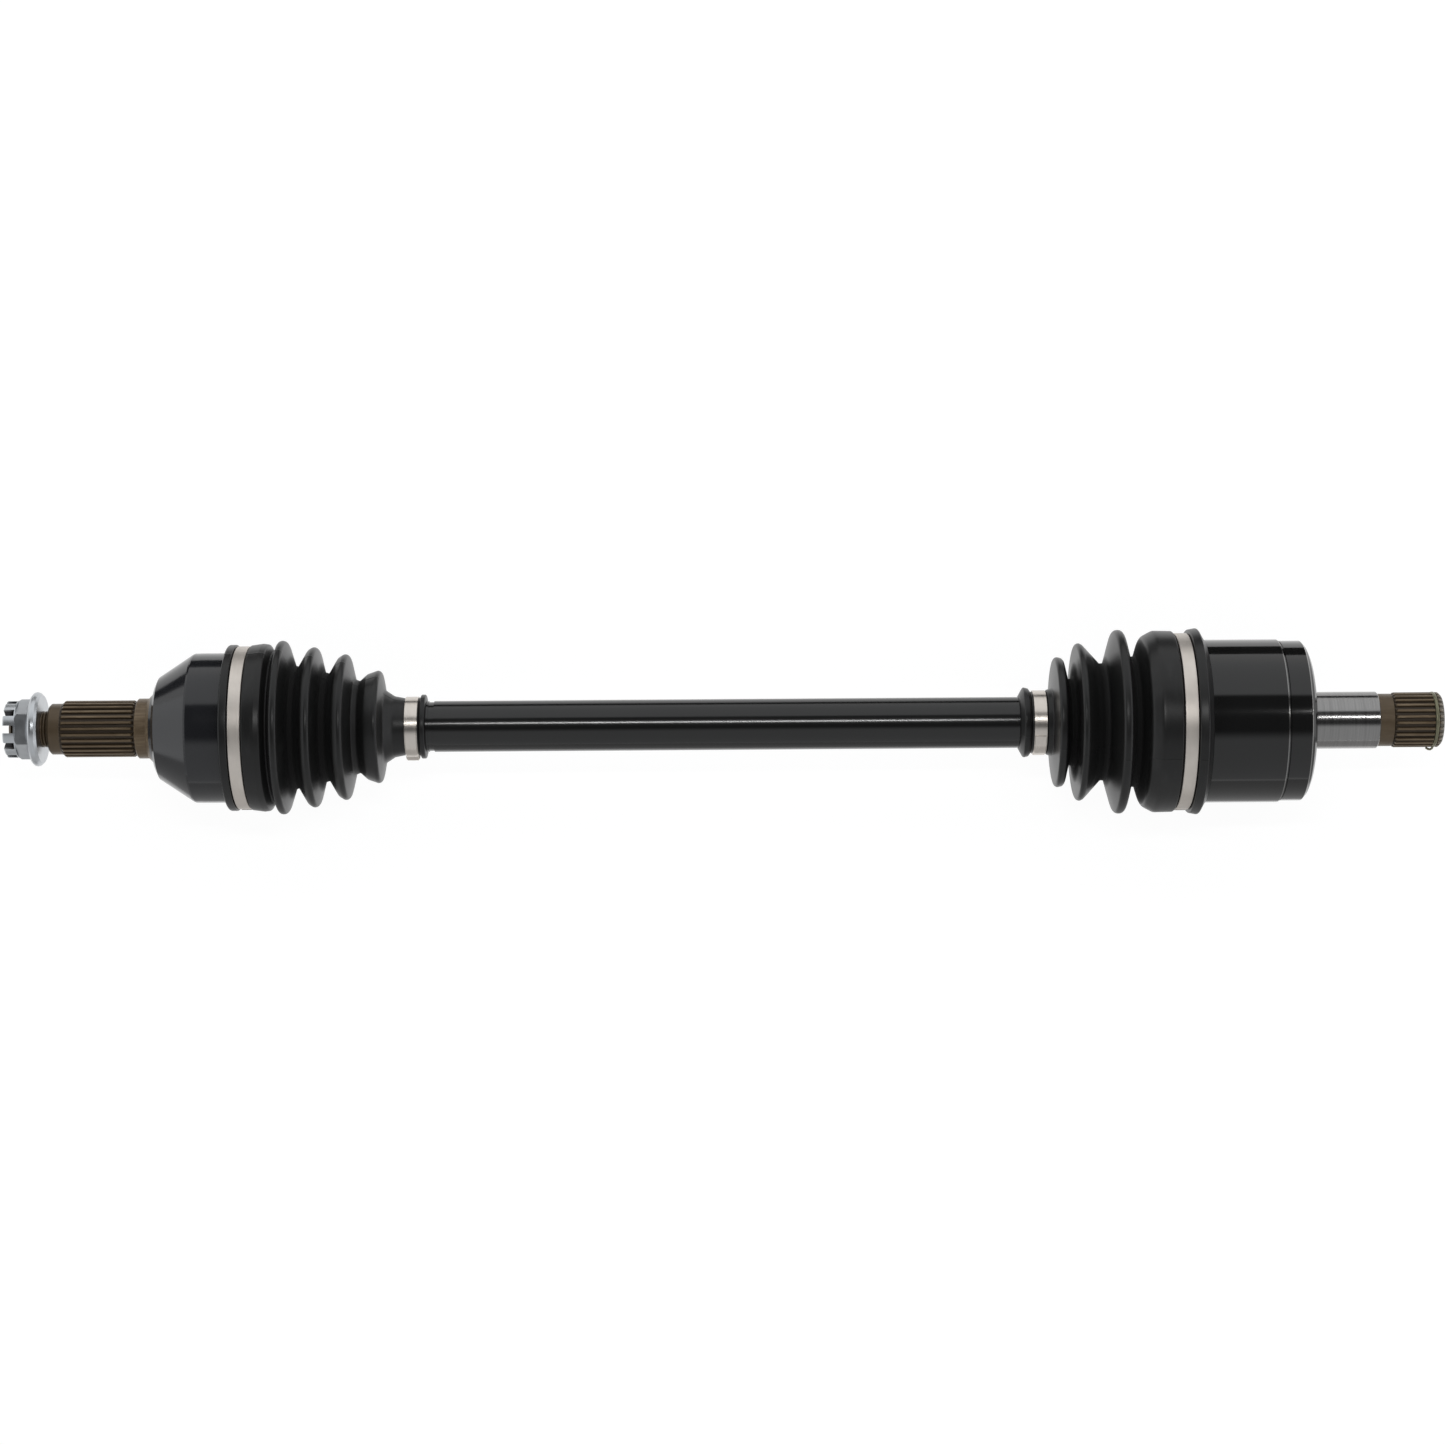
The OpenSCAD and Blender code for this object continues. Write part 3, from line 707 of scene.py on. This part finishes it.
def steel(dark, pale, rough, scratch, squeeze):
    """Bare or plated steel with fine lines; squeeze makes them run along or round the axle."""
    def build(tree, shade):
        place = object_place(tree)
        lines = noise(tree, place, 1200, 3, squeeze)
        cloud = noise(tree, place, 110, 4)
        link(tree, shade, Base_Color=mix_colour(tree, cloud, dark, pale),
             Roughness=ranged(tree, lines, rough * 0.8, rough * 1.25),
             Normal=bump(tree, lines, scratch))
    return build


BAND_COLOURS = ((0.54, 0.50, 0.455, 1), (0.70, 0.65, 0.60, 1))
STEELS = {            # dark, pale, roughness, scratches, how the lines run, metallic
    "band": (*BAND_COLOURS, 0.42, 0.25, LINES_ROUND, 1.0),
    "small_band": (*BAND_COLOURS, 0.25, 0.25, LINES_ROUND, 1.0),
    "bearing": ((0.4, 0.4, 0.42, 1), (0.55, 0.55, 0.57, 1), 0.2, 0.05, EVEN, 1.0),
    "phosphate": ((0.1, 0.1, 0.1, 1), (0.2, 0.2, 0.2, 1), 0.45, 0.1, EVEN, 0.6),
    "ball": ((0.68, 0.69, 0.7, 1), (0.76, 0.77, 0.78, 1), 0.07, 0.01, EVEN, 1.0),
    "wire": ((0.13, 0.125, 0.08, 1), (0.22, 0.21, 0.14, 1), 0.34, 0.1, EVEN, 0.8)}

materials = {
    "rubber": finish_material("rubber", rubber, Specular_IOR_Level=0.34),
    "outer_paint": finish_material("outer_paint", outer_finish),
    "inner_paint": finish_material("inner_paint", inner_finish),
    "bar_paint": finish_material("bar_paint", bar_finish),
    "zinc": finish_material("zinc", zinc, Metallic=1.0)}
for steel_name, (*look, metallic) in STEELS.items():
    materials[steel_name] = finish_material(steel_name, steel(*look), Metallic=metallic)

MATERIAL_OF_SLOT = {
    "black_paint": "outer_paint", "gloss_black": "inner_paint", "bar_black": "bar_paint", "zinc": "zinc",
    "bearing_steel": "bearing", "phosphated_steel": "phosphate", "ball_steel": "ball",
    "spring_wire": "wire", "rubber": "rubber", "stainless_band": "band"}
for part in frame["record"]["subparts"]:
    mesh = frame["nodes"][part["node"]].data
    mesh.materials.clear()
    mesh.materials.append(materials[MATERIAL_OF_SLOT[part["material_slot"]]])


TURNED = 0.99         # the least share of a turned face's normal that lies along x and outward


def shade_round(obj):
    """Gives the turned faces of a CAD part the exact normals of their cones and cylinders."""
    mesh = obj.data
    normals = [corner.vector.copy() for corner in mesh.corner_normals]
    for face in mesh.polygons:
        lift = face.normal.dot(Vector((0, face.center.y, face.center.z)).normalized())
        if face.normal.x ** 2 + lift ** 2 < TURNED:
            continue
        for corner in face.loop_indices:
            place = mesh.vertices[mesh.loops[corner].vertex_index].co
            outward = Vector((0, place.y, place.z)).normalized()
            normals[corner] = Vector((face.normal.x, 0, 0)) + lift * outward
    mesh.normals_split_custom_set(normals)


for turned_part in ("axle_shaft", "outer_housing", "inner_housing"):
    shade_round(frame["nodes"][turned_part])

camera()
studio()
floor()
boot("outer")
boot("inner")
clamp("outer_large_clamp", "outer_end", "outer", (3, 9.6), OUTER_BAND_R, LARGE_BAND, LARGE_LAP, 0)
clamp("inner_large_clamp", "inner_end", "inner", (17.4, 24.3), INNER_BAND_R, LARGE_BAND, LARGE_LAP, 0)
clamp("outer_small_clamp", "shaft", "outer", (86.5, 93.5), OUTER_SEAT_R, SMALL_BAND, OUTER_SMALL_LAP, 1.5)
clamp("inner_small_clamp", "shaft", "inner", (88, 95), INNER_SEAT_R, SMALL_BAND, INNER_SMALL_LAP, 0)
circlip_hook()
